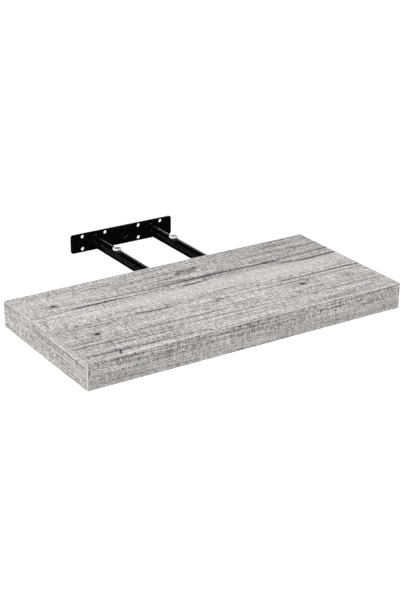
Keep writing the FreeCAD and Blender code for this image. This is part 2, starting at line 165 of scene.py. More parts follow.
def blend(tree, share, under, over, blend_type="MIX"):
    """Mix two colours by a share. 6, 7 and 2 are the numbers of the Mix node's colour sockets."""
    node = fit(tree, "Mix", {"Factor": share, 6: under, 7: over}, data_type="RGBA", blend_type=blend_type)
    return node.outputs[2]


def relief(tree, height, strength, distance):
    """A normal that follows a height."""
    bump = fit(tree, "Bump", {"Height": height, "Strength": strength, "Distance": distance})
    return bump.outputs["Normal"]


def ellipse_reach(tree, place, centre, size, angle, axis):
    """How far out a place lies on an ellipse turned by an angle: 0 in the middle, 1 on its edge."""
    inputs = {"Vector": place, "Center": centre, "Angle": angle}
    aligned = fit(tree, "VectorRotate", inputs, rotation_type=axis).outputs["Vector"]
    away = vector_maths(tree, "SUBTRACT", aligned, centre)
    return vector_maths(tree, "LENGTH", vector_maths(tree, "DIVIDE", away, size))


def moulded_skin():
    """Fine unevenness of a cured coat or a moulded face: height and a roughness that drifts."""
    group, given, result = new_effect(
        "moulded_skin",
        (
            ("Vector", "Vector", None), ("Grain", "Float", 1.0),
            ("Roughness", "Float", 0.35), ("Drift", "Float", 0.06),
        ),
        ("Height", "Roughness"),
    )
    place = given.outputs["Vector"]
    by_grain = fit(group, "VectorMath", {0: place, "Scale": given.outputs["Grain"]}, operation="SCALE")
    peel = noise(group, by_grain.outputs["Vector"], 0.9, 3.0, 0.55)
    swell = noise(group, by_grain.outputs["Vector"], 0.22, 1.0)
    height = maths(group, "ADD", maths(group, "MULTIPLY", peel, 0.6), maths(group, "MULTIPLY", swell, 0.4))
    cloud = noise(group, place, 0.05, 3.0)
    shift = maths(group, "MULTIPLY", maths(group, "SUBTRACT", cloud, 0.5), given.outputs["Drift"])
    rough = maths(group, "ADD", given.outputs["Roughness"], maths(group, "MULTIPLY", shift, 2.0), clamp=True)
    plug(group, result, {"Height": height, "Roughness": rough})
    return group


skin_effect = moulded_skin()
powder_coat, tree, shader = new_finish("black_powder_coat")
mm = in_millimetres(tree)
skin = use_effect(tree, skin_effect, {"Vector": mm, "Grain": 0.6, "Roughness": 0.26, "Drift": 0.05})
# The coat's colour is lightened in thin streaks: painted highlights where glints would show.
glint_share = 0.0
for centre, half_length, half_width, angle in PAINTED_GLINTS:
    size = (half_length, GLINT_DEPTH, half_width)
    reach = ellipse_reach(tree, mm, centre, size, math.radians(angle), "Y_AXIS")
    # The longest painted glint, which is the first, is painted the palest.
    glint_mask = spread(tree, reach, 1.1, 0.5, 0.0, half_length / PAINTED_GLINTS[0][1], smooth=True)
    glint_share = maths(tree, "MAXIMUM", glint_share, glint_mask)
plug(tree, shader, {
    "Base Color": blend(tree, glint_share, COAT_BLACK, GLINT_GREY),
    "Specular IOR Level": 0.42,
    "Roughness": skin.outputs["Roughness"],
    "Normal": relief(tree, skin.outputs["Height"], 0.04, 0.2 * MM),
})


def as_mesh(bm, name):
    """Turn a bmesh into a mesh and let go of it."""
    mesh = bpy.data.meshes.new(name)
    bm.to_mesh(mesh)
    bm.free()
    return mesh


def finished_piece(bm, name, finish, body, node, crease=35):
    """Turn a bmesh into the piece that stands for a node, with smooth faces and hard edges."""
    bmesh.ops.recalc_face_normals(bm, faces=bm.faces)
    for face in bm.faces:
        face.smooth = True
    for edge in bm.edges:
        edge.smooth = len(edge.link_faces) == 2 and edge.calc_face_angle(0) < math.radians(crease)
    piece = bpy.data.objects.new(name, as_mesh(bm, name))
    bpy.context.scene.collection.objects.link(piece)
    piece.data.materials.append(finish)
    piece.modifiers.new("even_normals", "WEIGHTED_NORMAL").keep_sharp = True
    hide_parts(node)
    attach(piece, body)


def soften(bm, is_there, amount, segments=3):
    """Round the sharp edges of a bmesh whose two ends lie where the test says."""
    sharp = 1.0  # radians between two faces
    edges = [
        edge for edge in bm.edges
        if len(edge.link_faces) == 2 and edge.calc_face_angle() > sharp
        and all(is_there(vert.co) for vert in edge.verts)
    ]
    bmesh.ops.bevel(
        bm, geom=edges, offset=amount, offset_type="OFFSET", segments=segments, profile=0.5,
        affect="EDGES", material=-1, clamp_overlap=True, loop_slide=False,
    )


def move_new(bm, grown, step):
    """Move the points that an extrusion has just made."""
    points = [part for part in grown["geom"] if isinstance(part, bmesh.types.BMVert)]
    bmesh.ops.translate(bm, vec=step, verts=points)


low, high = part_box("wall_plate")
upright_face = Matrix.Rotation(math.radians(90), 4, "X")
bm = bmesh.new()
bmesh.ops.create_grid(bm, x_segments=1, y_segments=1, size=1, matrix=upright_face)
bmesh.ops.scale(bm, vec=((high.x - low.x) / 2, 1, (high.z - low.z) / 2), verts=bm.verts)
bmesh.ops.bevel(
    bm, geom=bm.verts, offset=CORNER_RADIUS, segments=8, profile=0.5, affect="VERTICES", material=-1,
)
bmesh.ops.delete(bm, geom=bm.faces[:], context="FACES_ONLY")
for x in HOLE_COLUMNS:
    for z in HOLE_ROWS:
        centre = Matrix.Translation((x * MM, 0, z * MM))
        bmesh.ops.create_circle(bm, segments=32, radius=HOLE_RADIUS, matrix=centre @ upright_face)
bmesh.ops.triangle_fill(bm, edges=bm.edges, use_beauty=True, use_dissolve=False, normal=(0, -1, 0))
bmesh.ops.dissolve_limit(bm, angle_limit=0.01, verts=bm.verts, edges=bm.edges, use_dissolve_boundaries=False)
move_new(bm, bmesh.ops.extrude_face_region(bm, geom=bm.faces[:]), (0, low.y, 0))
soften(bm, lambda at: at.y < low.y / 2, COAT_ROUNDING)
finished_piece(bm, "plate_coated", powder_coat, "bracket", "wall_plate")


# ---------------------------------------------------------------- support tubes and their welds
# Two round tubes, 17 mm over a 1.5 mm wall, butted on the plate and welded all round. Each has a
# flat seat milled in its crest for the rivet nut. The weld shows its ripples through the coat.
SIDES = (("left", -50 * MM), ("right", 50 * MM))
TUBE_RADIUS, TUBE_BORE, TUBE_LENGTH = 8.5, 7, 196
SEAT_PLACE, SEAT_HEIGHT, SEAT_HALF_LENGTH = -75 * MM, 7.9, 7.31
SEAT_CUTS = (-7.32, -7.3, 7.3, 7.32)
WELD_WIDTH, WELD_LENGTH, RIPPLES = 2.5, 2.55, 24
RIPPLE_HEIGHT, SWAY_HEIGHT = 0.45 * MM, 0.08 * MM


def turned(profile, steps, axis, place):
    """Spin a profile of (radius, height) points in millimetres round an axis at a place."""
    bm = bmesh.new()
    out = Vector((1, 0, 0))
    verts = [bm.verts.new(out * r * MM + Vector(axis) * h * MM) for r, h in profile]
    edges = [bm.edges.new(pair) for pair in zip(verts, verts[1:])]
    bmesh.ops.spin(
        bm, geom=verts + edges, cent=(0, 0, 0), axis=axis, angle=math.tau, steps=steps, use_merge=True,
    )
    bmesh.ops.remove_doubles(bm, verts=bm.verts, dist=1e-7)
    bmesh.ops.translate(bm, vec=place, verts=bm.verts)
    return bm


def cut_through(bm, place, normal, **cleared):
    """Cut a bmesh by a plane."""
    bmesh.ops.bisect_plane(
        bm, geom=bm.verts[:] + bm.edges[:] + bm.faces[:], dist=1e-8,
        plane_co=place, plane_no=normal, **cleared,
    )


for side, x in SIDES:
    low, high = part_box(f"support_tube_{side}")
    bm = turned([
        (TUBE_BORE, 0), (TUBE_RADIUS, 0), (TUBE_RADIUS, -TUBE_LENGTH), (TUBE_BORE, -TUBE_LENGTH),
        (TUBE_BORE, 0),
    ], steps=72, axis=(0, 1, 0), place=(x, high.y, 0))
    # Two cuts a hair apart at each end of the seat keep its step steep.
    for step in SEAT_CUTS:
        cut_through(bm, (0, SEAT_PLACE + step * MM, 0), (0, 1, 0))
    for vert in bm.verts:
        if abs(vert.co.y - SEAT_PLACE) < SEAT_HALF_LENGTH * MM:
            vert.co.z = min(vert.co.z, SEAT_HEIGHT * MM)
    finished_piece(
        bm, f"tube_coated_{side}", powder_coat, "bracket", f"support_tube_{side}",
    )

    # The bead: a plump three-cornered section, run round in overlapping ripples.
    low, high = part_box(f"weld_bead_{side}")
    bm = turned([
        (TUBE_RADIUS, 0), (TUBE_RADIUS + WELD_WIDTH, 0), (10.75, -0.55), (10.3, -1.1), (9.75, -1.7),
        (9.2, -2.25), (TUBE_RADIUS, -WELD_LENGTH), (TUBE_RADIUS, 0),
    ], steps=216, axis=(0, 1, 0), place=(x, high.y, 0))
    # Each ripple rises at once and dies away round the tube, and their spacing sways a little.
    for vert in bm.verts:
        arm = vert.co - Vector((x, high.y, 0))
        radius = math.hypot(arm.x, arm.z)
        angle = math.atan2(arm.z, arm.x)
        ripple = (angle * RIPPLES / math.tau + 0.35 * math.sin(3 * angle + x * 90)) % 1.0
        swell = RIPPLE_HEIGHT * (1 - ripple) ** 0.6 + SWAY_HEIGHT * math.sin(5 * angle + 1)
        outward = max(0.0, radius - TUBE_RADIUS * MM) / (WELD_WIDTH * MM)
        forward = max(0.0, -arm.y) / (WELD_LENGTH * MM)
        grow = 1 + swell * outward / radius
        vert.co.x, vert.co.z = x + arm.x * grow, arm.z * grow
        vert.co.y -= swell * 0.9 * forward
    finished_piece(
        bm, f"weld_{side}", powder_coat, "bracket", f"weld_bead_{side}", crease=60,
    )


# ---------------------------------------------------------------- end caps
# Moulded black caps that close the tubes' front ends. The collar runs in the board's passage, and
# the hollow plug is pushed into the tube.
COLLAR_RADIUS, COLLAR_LENGTH, NOSE_WALL = 10, 4, 2
PLUG_RADIUS, PLUG_BORE, CAP_LENGTH = 6.95, 4.95, 16
NOSE_ROUNDING, RIM_ROUNDING = 0.8 * MM, 0.3 * MM
CAP_BLACK = (0.010, 0.010, 0.010, 1)
cap_plastic, tree, shader = new_finish("black_plastic")
skin = use_effect(tree, skin_effect, {
    "Vector": in_millimetres(tree), "Grain": 2.2, "Roughness": 0.5, "Drift": 0.04,
})
plug(tree, shader, {
    "Base Color": CAP_BLACK,
    "Roughness": skin.outputs["Roughness"],
    "Normal": relief(tree, skin.outputs["Height"], 0.25, 0.1 * MM),
})


def is_nose_rim(at):
    """Whether a point of the cap being made lies on the rim of its nose."""
    return at.y < low.y + 0.1 * MM and math.hypot(at.x - x, at.z) > PLUG_RADIUS * MM


for side, x in SIDES:
    low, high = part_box(f"tube_cap_{side}")
    bm = turned([
        (0, 0), (COLLAR_RADIUS, 0), (COLLAR_RADIUS, COLLAR_LENGTH), (PLUG_RADIUS, COLLAR_LENGTH),
        (PLUG_RADIUS, CAP_LENGTH), (PLUG_BORE, CAP_LENGTH), (PLUG_BORE, NOSE_WALL), (0, NOSE_WALL),
    ], steps=64, axis=(0, 1, 0), place=(x, low.y, 0))
    soften(bm, is_nose_rim, NOSE_ROUNDING, 4)
    soften(bm, lambda at: at.y > low.y + (COLLAR_LENGTH - 1) * MM, RIM_ROUNDING, 2)
    finished_piece(bm, f"cap_{side}", cap_plastic, "bracket", f"tube_cap_{side}")


# ---------------------------------------------------------------- rivet nuts
# Zinc-plated threaded inserts, pulled tight from outside so that the shank bulges behind the
# tube's wall. Only the thin head shows, under the ring.
NUT_BORE, SHANK_RADIUS, BULGE_RADIUS, NUT_HEAD_RADIUS = 3.05, 4.3, 5.2, 5
NUT_BOTTOM, BULGE_BOTTOM, BULGE_TOP, NUT_TOP = -2.1, 2.2, 4.6, 8.4
BULGE_ROUNDING, NUT_ROUNDING = 0.42 * MM, 0.12 * MM
ZINC_COOL, ZINC_WARM = (0.50, 0.51, 0.54, 1), (0.66, 0.65, 0.63, 1)


def two_tone(tree, value, first, last, start=0.0, end=1.0):
    """Colour a value: one colour up to its start, another from its end on, and a ramp between."""
    ramp = fit(tree, "ValToRGB", {"Fac": value})
    for element, position, colour in zip(ramp.color_ramp.elements, (start, end), (first, last)):
        element.position = position
        element.color = colour
    return ramp.outputs["Color"]


zinc, tree, shader = new_finish("zinc_plate")
mm = in_millimetres(tree)
scuff = noise(tree, mm, 6.0, 4.0, 0.65)
plug(tree, shader, {
    "Base Color": two_tone(tree, noise(tree, mm, 0.5, 3.0), ZINC_COOL, ZINC_WARM),
    "Metallic": 0.7,
    "Roughness": spread(tree, scuff, 0.3, 0.7, 0.24, 0.42),
    "Normal": relief(tree, scuff, 0.1, 0.05 * MM),
})
for side, x in SIDES:
    bm = turned([
        (NUT_BORE, NUT_BOTTOM), (SHANK_RADIUS, NUT_BOTTOM), (SHANK_RADIUS, BULGE_BOTTOM),
        (BULGE_RADIUS, BULGE_BOTTOM), (BULGE_RADIUS, BULGE_TOP), (SHANK_RADIUS, BULGE_TOP),
        (SHANK_RADIUS, SEAT_HEIGHT), (NUT_HEAD_RADIUS, SEAT_HEIGHT), (NUT_HEAD_RADIUS, NUT_TOP),
        (NUT_BORE, NUT_TOP), (NUT_BORE, NUT_BOTTOM),
    ], steps=48, axis=(0, 0, 1), place=(x, SEAT_PLACE, 0))
    soften(bm, lambda at: (BULGE_BOTTOM - 0.1) * MM < at.z < (BULGE_TOP + 0.1) * MM, BULGE_ROUNDING)
    soften(bm, lambda at: at.z > (NUT_TOP - 0.05) * MM, NUT_ROUNDING, 2)
    finished_piece(bm, f"threaded_insert_{side}", zinc, "bracket", f"rivet_nut_{side}")


# ---------------------------------------------------------------- pressure rings
# White nylon rings that bear on the inside of the board. Each is held captive under the head of
# its levelling screw, which sits in a recess.
RING_RADIUS, RING_BORE, RECESS_RADIUS = 7, 2.55, 4.8
RING_BOTTOM, RECESS_FLOOR, RING_TOP = 8.5, 9.9, 11.1
RECESS_ROUNDING, RING_ROUNDING = 0.25 * MM, 0.6 * MM
NYLON_SHADE, NYLON_PALE = (0.74, 0.735, 0.71, 1), (0.84, 0.84, 0.825, 1)
nylon, tree, shader = new_finish("white_nylon")
mm = in_millimetres(tree)
skin = use_effect(tree, skin_effect, {"Vector": mm, "Grain": 3.0, "Roughness": 0.42, "Drift": 0.04})
plug(tree, shader, {
    "Base Color": two_tone(tree, noise(tree, mm, 0.35), NYLON_SHADE, NYLON_PALE),
    "Roughness": skin.outputs["Roughness"],
    "Subsurface Weight": 0.15,
    "Subsurface Radius": (0.002, 0.002, 0.002),
    "Subsurface Scale": 0.5,
    "Normal": relief(tree, skin.outputs["Height"], 0.15, 0.1 * MM),
})


def from_axis(at):
    """How far a point lies from the axis of the screw and its ring."""
    return math.hypot(at.x - x, at.y - SEAT_PLACE)


for side, x in SIDES:
    bm = turned([
        (RING_BORE, RING_BOTTOM), (RING_RADIUS, RING_BOTTOM), (RING_RADIUS, RING_TOP),
        (RECESS_RADIUS, RING_TOP), (RECESS_RADIUS, RECESS_FLOOR), (RING_BORE, RECESS_FLOOR),
        (RING_BORE, RING_BOTTOM),
    ], steps=64, axis=(0, 0, 1), place=(x, SEAT_PLACE, 0))
    # The recess's rim, then the two outer rims.
    rim_height, recess_reach, outer_reach = RING_TOP - 0.1, RECESS_RADIUS + 0.1, RING_RADIUS - 0.1
    soften(bm, lambda at: at.z > rim_height * MM and from_axis(at) < recess_reach * MM, RECESS_ROUNDING)
    soften(bm, lambda at: from_axis(at) > outer_reach * MM, RING_ROUNDING, 4)
    finished_piece(
        bm, f"nylon_ring_{side}", nylon, f"pressure_ring_{side}", f"pressure_ring_{side}",
    )


# ---------------------------------------------------------------- levelling screws
# M6 slotted screws, zinc plated. Turning one in its rivet nut lifts the ring that hangs on its
# neck. The thread has a 1 mm pitch.
HEAD_RADIUS, HEAD_BOTTOM, HEAD_TOP = 4.5 * MM, 9.95 * MM, 10.85 * MM
SLOT_FLOOR, HALF_SLOT, HEAD_ROUNDING = 10.25 * MM, 0.7 * MM, 0.12 * MM
NECK_RADIUS, NECK_TOP = 2.5, 9.97
THREAD_ROOT, THREAD_CREST, PITCH, TURNS, STEPS = 2.62, 3.0, 1, 13, 24
THREAD_BOTTOM, THREAD_TOP = -2.55, 8.45


def open_edges(bm):
    """The edges that have a face on one side only."""
    return [edge for edge in bm.edges if len(edge.link_faces) == 1]


for side, x in SIDES:
    axis = Vector((x, SEAT_PLACE, 0))
    # The head: a disc at the slot's floor, cut along the slot, with its two cheeks raised.
    bm = bmesh.new()
    floor_place = Matrix.Translation(axis + Vector((0, 0, SLOT_FLOOR)))
    bmesh.ops.create_circle(bm, cap_ends=True, segments=64, radius=HEAD_RADIUS, matrix=floor_place)
    for step in (-HALF_SLOT, HALF_SLOT):
        cut_through(bm, axis + Vector((0, step, 0)), (0, 1, 0))
    cheeks = [face for face in bm.faces if abs(face.calc_center_median().y - SEAT_PLACE) > HALF_SLOT]
    raised = bmesh.ops.extrude_face_region(bm, geom=cheeks)
    bmesh.ops.delete(bm, geom=cheeks, context="FACES_ONLY")
    move_new(bm, raised, (0, 0, HEAD_TOP - SLOT_FLOOR))
    dropped = bmesh.ops.extrude_edge_only(bm, edges=open_edges(bm))
    move_new(bm, dropped, (0, 0, HEAD_BOTTOM - SLOT_FLOOR))
    bmesh.ops.recalc_face_normals(bm, faces=bm.faces)
    soften(bm, lambda at: at.z > HEAD_TOP - 0.01 * MM, HEAD_ROUNDING, 2)
    bmesh.ops.holes_fill(bm, edges=open_edges(bm), sides=0)
    head_mesh = as_mesh(bm, "head")

    # The neck runs from the head down to the thread's shoulder.
    bm = turned([
        (0, NUT_TOP), (NECK_RADIUS, NUT_TOP), (NECK_RADIUS, NECK_TOP), (0, NECK_TOP),
    ], steps=48, axis=(0, 0, 1), place=axis)
    neck_mesh = as_mesh(bm, "neck")

    # The thread: one ridge spun up the screw, a pitch each turn, and trimmed flat at both ends.
    bm = bmesh.new()
    ridge = (
        (THREAD_ROOT, THREAD_BOTTOM - PITCH), (THREAD_CREST, THREAD_BOTTOM - PITCH / 2),
        (THREAD_ROOT, THREAD_BOTTOM),
    )
    verts = [bm.verts.new((r * MM, 0, z * MM)) for r, z in ridge]
    edges = [bm.edges.new(pair) for pair in zip(verts, verts[1:])]
    bmesh.ops.spin(
        bm, geom=verts + edges, cent=(0, 0, 0), axis=(0, 0, 1), angle=math.tau * TURNS,
        steps=TURNS * STEPS, dvec=(0, 0, PITCH * MM / STEPS), use_merge=False,
    )
    bmesh.ops.remove_doubles(bm, verts=bm.verts, dist=1e-6)
    for height, keep_above in ((THREAD_BOTTOM * MM, True), (THREAD_TOP * MM, False)):
        cut_through(bm, (0, 0, height), (0, 0, 1), clear_inner=keep_above, clear_outer=not keep_above)
        end_edges = [edge for edge in open_edges(bm) if all(abs(v.co.z - height) < 1e-6 for v in edge.verts)]
        bmesh.ops.holes_fill(bm, edges=end_edges, sides=0)
    bmesh.ops.translate(bm, vec=axis, verts=bm.verts)
    for extra in (head_mesh, neck_mesh):
        bm.from_mesh(extra)
        bpy.data.meshes.remove(extra)
    finished_piece(
        bm, f"slotted_screw_{side}", zinc, f"levelling_screw_{side}", f"levelling_screw_{side}",
    )


# ---------------------------------------------------------------- top and bottom panels
# Thin fibreboard faced with grey driftwood-oak melamine: a pale print with long dark splits, small
# knots and short pores along the board, and a matt surface with slightly sunken pores.
PRINT_LENGTH, PRINT_WIDTH, ANY_DEPTH = 500.0, 235.0, 1e6
PANEL_DARKEST, PANEL_LIGHTEST = (0.085, 0.079, 0.077, 1), (0.87, 0.845, 0.83, 1)
WARM_TINT, SPLIT_INK = (0.985, 0.955, 0.945, 1), (0.040, 0.035, 0.034, 1)
EDGE_EASE = 0.2 * MM
# The tone that the figure varies round, and the strengths of the splits, their shade and the pores.
BASE_TONE, INK_STRENGTH, SHADE_STRENGTH, PORE_STRENGTH = 0.53, 1.15, 0.09, 0.75
# How far the grain sways and the edges of splits and marks are ragged, in millimetres and in shares.
SWAY, SPLIT_RAG, MARK_RAG = 7.0, 1.4, 1.6
# A weave is the strength of the coarse figure, of the fine figure and of the saw marks.
PANEL_WEAVE = (0.25, 1.18, 0.72)
# Places on the print are in millimetres: u along the grain and v over it. Each row holds a centre
# (u, v), a half length, a half width, and then what its heading names.
# Calm zones, where the figure is weaker.
CALM_ZONES = ((350, 103, 230, 16), (250, 330, 320, 9))
CALMING = -0.4
# Broad paler and darker areas: angle, shift of tone.
AREAS = (
    (420, 36, 240, 46, 0, -0.13), (400, 68, 170, 16, 0, -0.03), (330, 107, 270, 18, 0.02, 0.11),
    (20, 50, 75, 45, 0, 0.05), (30, 8, 90, 16, 0, -0.08), (120, 90, 150, 16, 0, 0.06),
    (100, 128, 220, 12, 0, -0.08), (40, 148, 80, 12, 0, -0.05), (10, 205, 70, 34, 0, -0.06),
    (390, 165, 110, 14, 0, 0.05), (445, 206, 90, 13, 0, 0.06), (95, 145.5, 55, 1.8, 0, 0.2),
    (400, 146, 100, 1.8, 0, 0.22), (470, 192, 60, 1.8, 0, 0.18), (250, 175, 120, 1.6, 0, 0.12),
    (250, 322, 330, 5, 0, 0.05), (250, 306, 330, 8, 0, -0.03), (253, 304, 13, 6, 0, -0.14),
    (224, 309, 20, 6, 0, -0.08), (150, 306, 40, 6, 0, -0.03),
)
# Knots, flecks and short cracks: angle, darkness.
MARKS = (
    (48, 53.5, 4.6, 2.6, 0, 0.85), (43, 54, 9, 5, 0, 0.3), (54.5, 163.5, 4.2, 2.8, 0.2, 0.95),
    (50, 163, 9, 4.5, 0, 0.3), (382, 165, 4.6, 2.6, -0.15, 1.0), (397, 155.5, 2.2, 1.3, 0.5, 0.8),
    (458, 168, 6, 4, 0, 0.4), (457, 168, 11, 7, 0, 0.22), (386, 70, 7, 2.2, -0.1, 0.85),
    (383, 75, 6, 1.6, -0.5, 0.6), (396, 77, 8, 1.3, 0, 0.5), (390, 73, 16, 5, 0, 0.25),
    (253, 41, 6, 4, 0.5, 0.6), (262, 36, 8, 2.5, -0.3, 0.5), (274, 39, 9, 4.5, 0.2, 0.4),
    (284, 34, 4, 3.5, 0, 0.6), (268, 45, 10, 2, 0, 0.4), (232, 48, 6, 2.5, 0, 0.3),
    (180, 37, 4, 2.4, 0.2, 0.5), (192, 37, 3.6, 2, 0, 0.45), (213, 33, 4.5, 2, 0, 0.4),
    (170, 51, 8, 2, 0, 0.25), (252, 147.5, 8, 2.6, -0.45, 0.55), (246, 153, 3.6, 2, 0.6, 0.6),
    (266, 149, 5, 2, 0, 0.35), (218, 170, 4.4, 2.4, 0, 0.4), (326, 137, 4.4, 1.8, 0, 0.55),
    (77, 125, 1.3, 4.6, 0, 0.6), (43, 128, 2.6, 3, 0.3, 0.5), (180, 129, 4, 2.2, 0, 0.4),
    (360, 187, 4.5, 1.8, -0.3, 0.6), (343, 196, 4, 1.8, 0, 0.5), (377, 202, 3, 1.6, 0, 0.5),
    (400, 184, 5, 1.4, 0, 0.4), (448, 194, 4, 1.5, 0, 0.4), (287, 186, 4, 1.5, 0, 0.4),
    (256, 187, 4, 1.8, 0, 0.35), (145, 195, 3.6, 1.4, 0, 0.5), (164, 196, 3, 1.2, 0, 0.45),
    (145, 209, 4, 2, 0, 0.4), (50.5, 216, 1.2, 3.6, 0.35, 0.95), (54.5, 222.5, 1.2, 3.6, -0.5, 0.95),
    (52, 228.5, 1.2, 3.4, 0.1, 0.9), (37, 179, 3, 1.2, 0.3, 0.5), (158, 226, 4, 1.4, 0.2, 0.6),
    (187, 228, 3.6, 1.3, -0.2, 0.5), (66, 201, 3, 3.2, 0.4, 0.35), (15, 82, 8, 2, -0.5, 0.35),
    (12, 95, 5, 5, 0, 0.2), (490, 187, 3, 1.4, 0, 0.5), (470, 104, 9, 1.2, 0, 0.2),
    (127, 28, 7, 1.6, 0, 0.25), (95, 32, 8, 2, 0, 0.25),
)
# Long splits: the line's points (u, v), its darkness at points (u, strength), and its half width.
SPLITS = (
    (((0, 62), (93, 63.5), (150, 67.5), (187, 68.8), (265, 68.7), (317, 69), (377, 71.3), (410, 69.3),
      (500, 66.5)),
     ((0, 0), (85, 0.1), (110, 0.6), (200, 0.55), (245, 0.95), (315, 1.0), (380, 0.85), (430, 0.6),
      (500, 0.7)), 0.85),
    (((0, 78.5), (40, 77), (70, 75.6), (123, 75.6), (150, 77.4), (187, 78), (215, 77), (500, 76)),
     ((0, 0.35), (60, 0.5), (78, 0.95), (120, 0.9), (150, 0.6), (205, 0.4), (235, 0), (500, 0)), 0.8),
    (((0, 86), (190, 85), (237, 84), (250, 84.2), (268, 82.4), (290, 79), (310, 77), (500, 77)),
     ((0, 0), (190, 0.15), (232, 0.3), (238, 1.0), (252, 0.9), (272, 0.45), (310, 0.1), (500, 0)), 0.9),
    (((0, 84), (360, 84.5), (400, 83.5), (420, 86), (447, 89.3), (467, 88.8), (500, 87.3)),
     ((0, 0), (360, 0.1), (400, 0.35), (415, 0.85), (470, 0.9), (500, 0.75)), 0.9),
    (((0, 141), (365, 141), (400, 141.5), (440, 142), (490, 142.8), (500, 143)),
     ((0, 0), (350, 0.1), (368, 0.8), (420, 0.6), (485, 0.8), (500, 0.4)), 0.8),
    (((0, 132), (128, 132.5), (150, 135.5), (170, 137), (193, 135), (500, 135)),
     ((0, 0.1), (125, 0.3), (140, 0.7), (175, 0.6), (200, 0.1), (500, 0)), 1.1),
    (((0, 177), (140, 179.5), (200, 180.5), (240, 181), (500, 182)),
     ((0, 0.5), (60, 0.3), (140, 0.6), (230, 0.55), (260, 0), (500, 0.2)), 0.7),
    (((0, 190), (150, 194.5), (260, 196), (400, 199), (500, 200)),
     ((0, 0.5), (120, 0.35), (250, 0.5), (300, 0.2), (400, 0.6), (500, 0.4)), 0.7),
    (((0, 219), (80, 221.5), (143, 222.5), (180, 225), (500, 226)),
     ((0, 0.2), (75, 0.6), (140, 0.65), (165, 0.3), (180, 0.7), (190, 0), (500, 0.2)), 0.7),
    (((0, 152), (300, 151), (420, 152.5), (500, 153)),
     ((0, 0.1), (280, 0.2), (330, 0.6), (430, 0.5), (500, 0.3)), 0.6),
    (((0, 38), (440, 38.5), (470, 41), (500, 40)),
     ((0, 0), (430, 0), (455, 0.45), (500, 0.5)), 0.9),
)


def speck():
    """One dark mark: an ellipse with a ragged edge, turned by an angle."""
    group, given, result = new_effect(
        "knot_or_crack",
        (
            ("Vector", "Vector", None), ("Ragged", "Float", 0.0), ("Centre", "Vector", None),
            ("Size", "Vector", (1.0, 1.0, 1.0)), ("Angle", "Float", 0.0), ("Dark", "Float", 1.0),
        ),
        ("Mark",),
    )
    place, centre, size, angle = (given.outputs[label] for label in ("Vector", "Centre", "Size", "Angle"))
    reach = ellipse_reach(group, place, centre, size, angle, "Z_AXIS")
    mask = spread(group, maths(group, "ADD", reach, given.outputs["Ragged"]), 1.45, 0.8, smooth=True)
    plug(group, result, {"Mark": maths(group, "MULTIPLY", mask, given.outputs["Dark"])})
    return group


speck_effect = speck()


def speck_mark(tree, place, u, v, half_length, half_width, angle, dark, ragged=0.0):
    one = use_effect(tree, speck_effect, {
        "Vector": place, "Ragged": ragged, "Centre": (u, v, 0.0),
        "Size": (half_length, half_width, ANY_DEPTH), "Angle": angle, "Dark": dark,
    })
    return one.outputs["Mark"]


def curve_along(tree, along, points, low, high):
    """A smooth curve through points of (distance along the print, value), with its range of values."""
    node = fit(tree, "FloatCurve", {"Value": spread(tree, along, 0.0, PRINT_LENGTH)})
    curve = node.mapping.curves[0]
    places = [(u / PRINT_LENGTH, (value - low) / (high - low)) for u, value in points]
    curve.points[0].location, curve.points[1].location = places[0], places[-1]
    for place in places[1:-1]:
        curve.points.new(*place)
    node.mapping.update()
    return spread(tree, node.outputs["Value"], 0.0, 1.0, low, high)


def stretched_noise(tree, place, fineness, push=0.0, detail=2.0, roughness=0.5):
    """Noise with its own fineness (per mm) along and over the print. A push reads another part of it."""
    aside = (push, push * 1.7, push * 0.4)
    moved = vector_maths(tree, "MULTIPLY_ADD", place, (*fineness, 1.0), aside)
    return noise(tree, moved, 1.0, detail, roughness)


def grain_noise(tree, swayed, fineness, push, detail=2.0, roughness=0.5, distortion=0.0):
    """Noise with its own fineness (per mm) along and over the swaying grain."""
    moved = vector_maths(tree, "MULTIPLY_ADD", swayed, (*fineness, 1.0), (push, push * 1.3, 0.0))
    return noise(tree, moved, 1.0, detail, roughness, distortion)


def layered(tree, layers, amount):
    """Add up layers of (value, share of the contrast, usual value), by an amount."""
    figure = 0.0
    for value, share, usual in layers:
        figure = maths(tree, "MULTIPLY_ADD", maths(tree, "SUBTRACT", value, usual), share, figure)
    return maths(tree, "MULTIPLY", figure, amount)


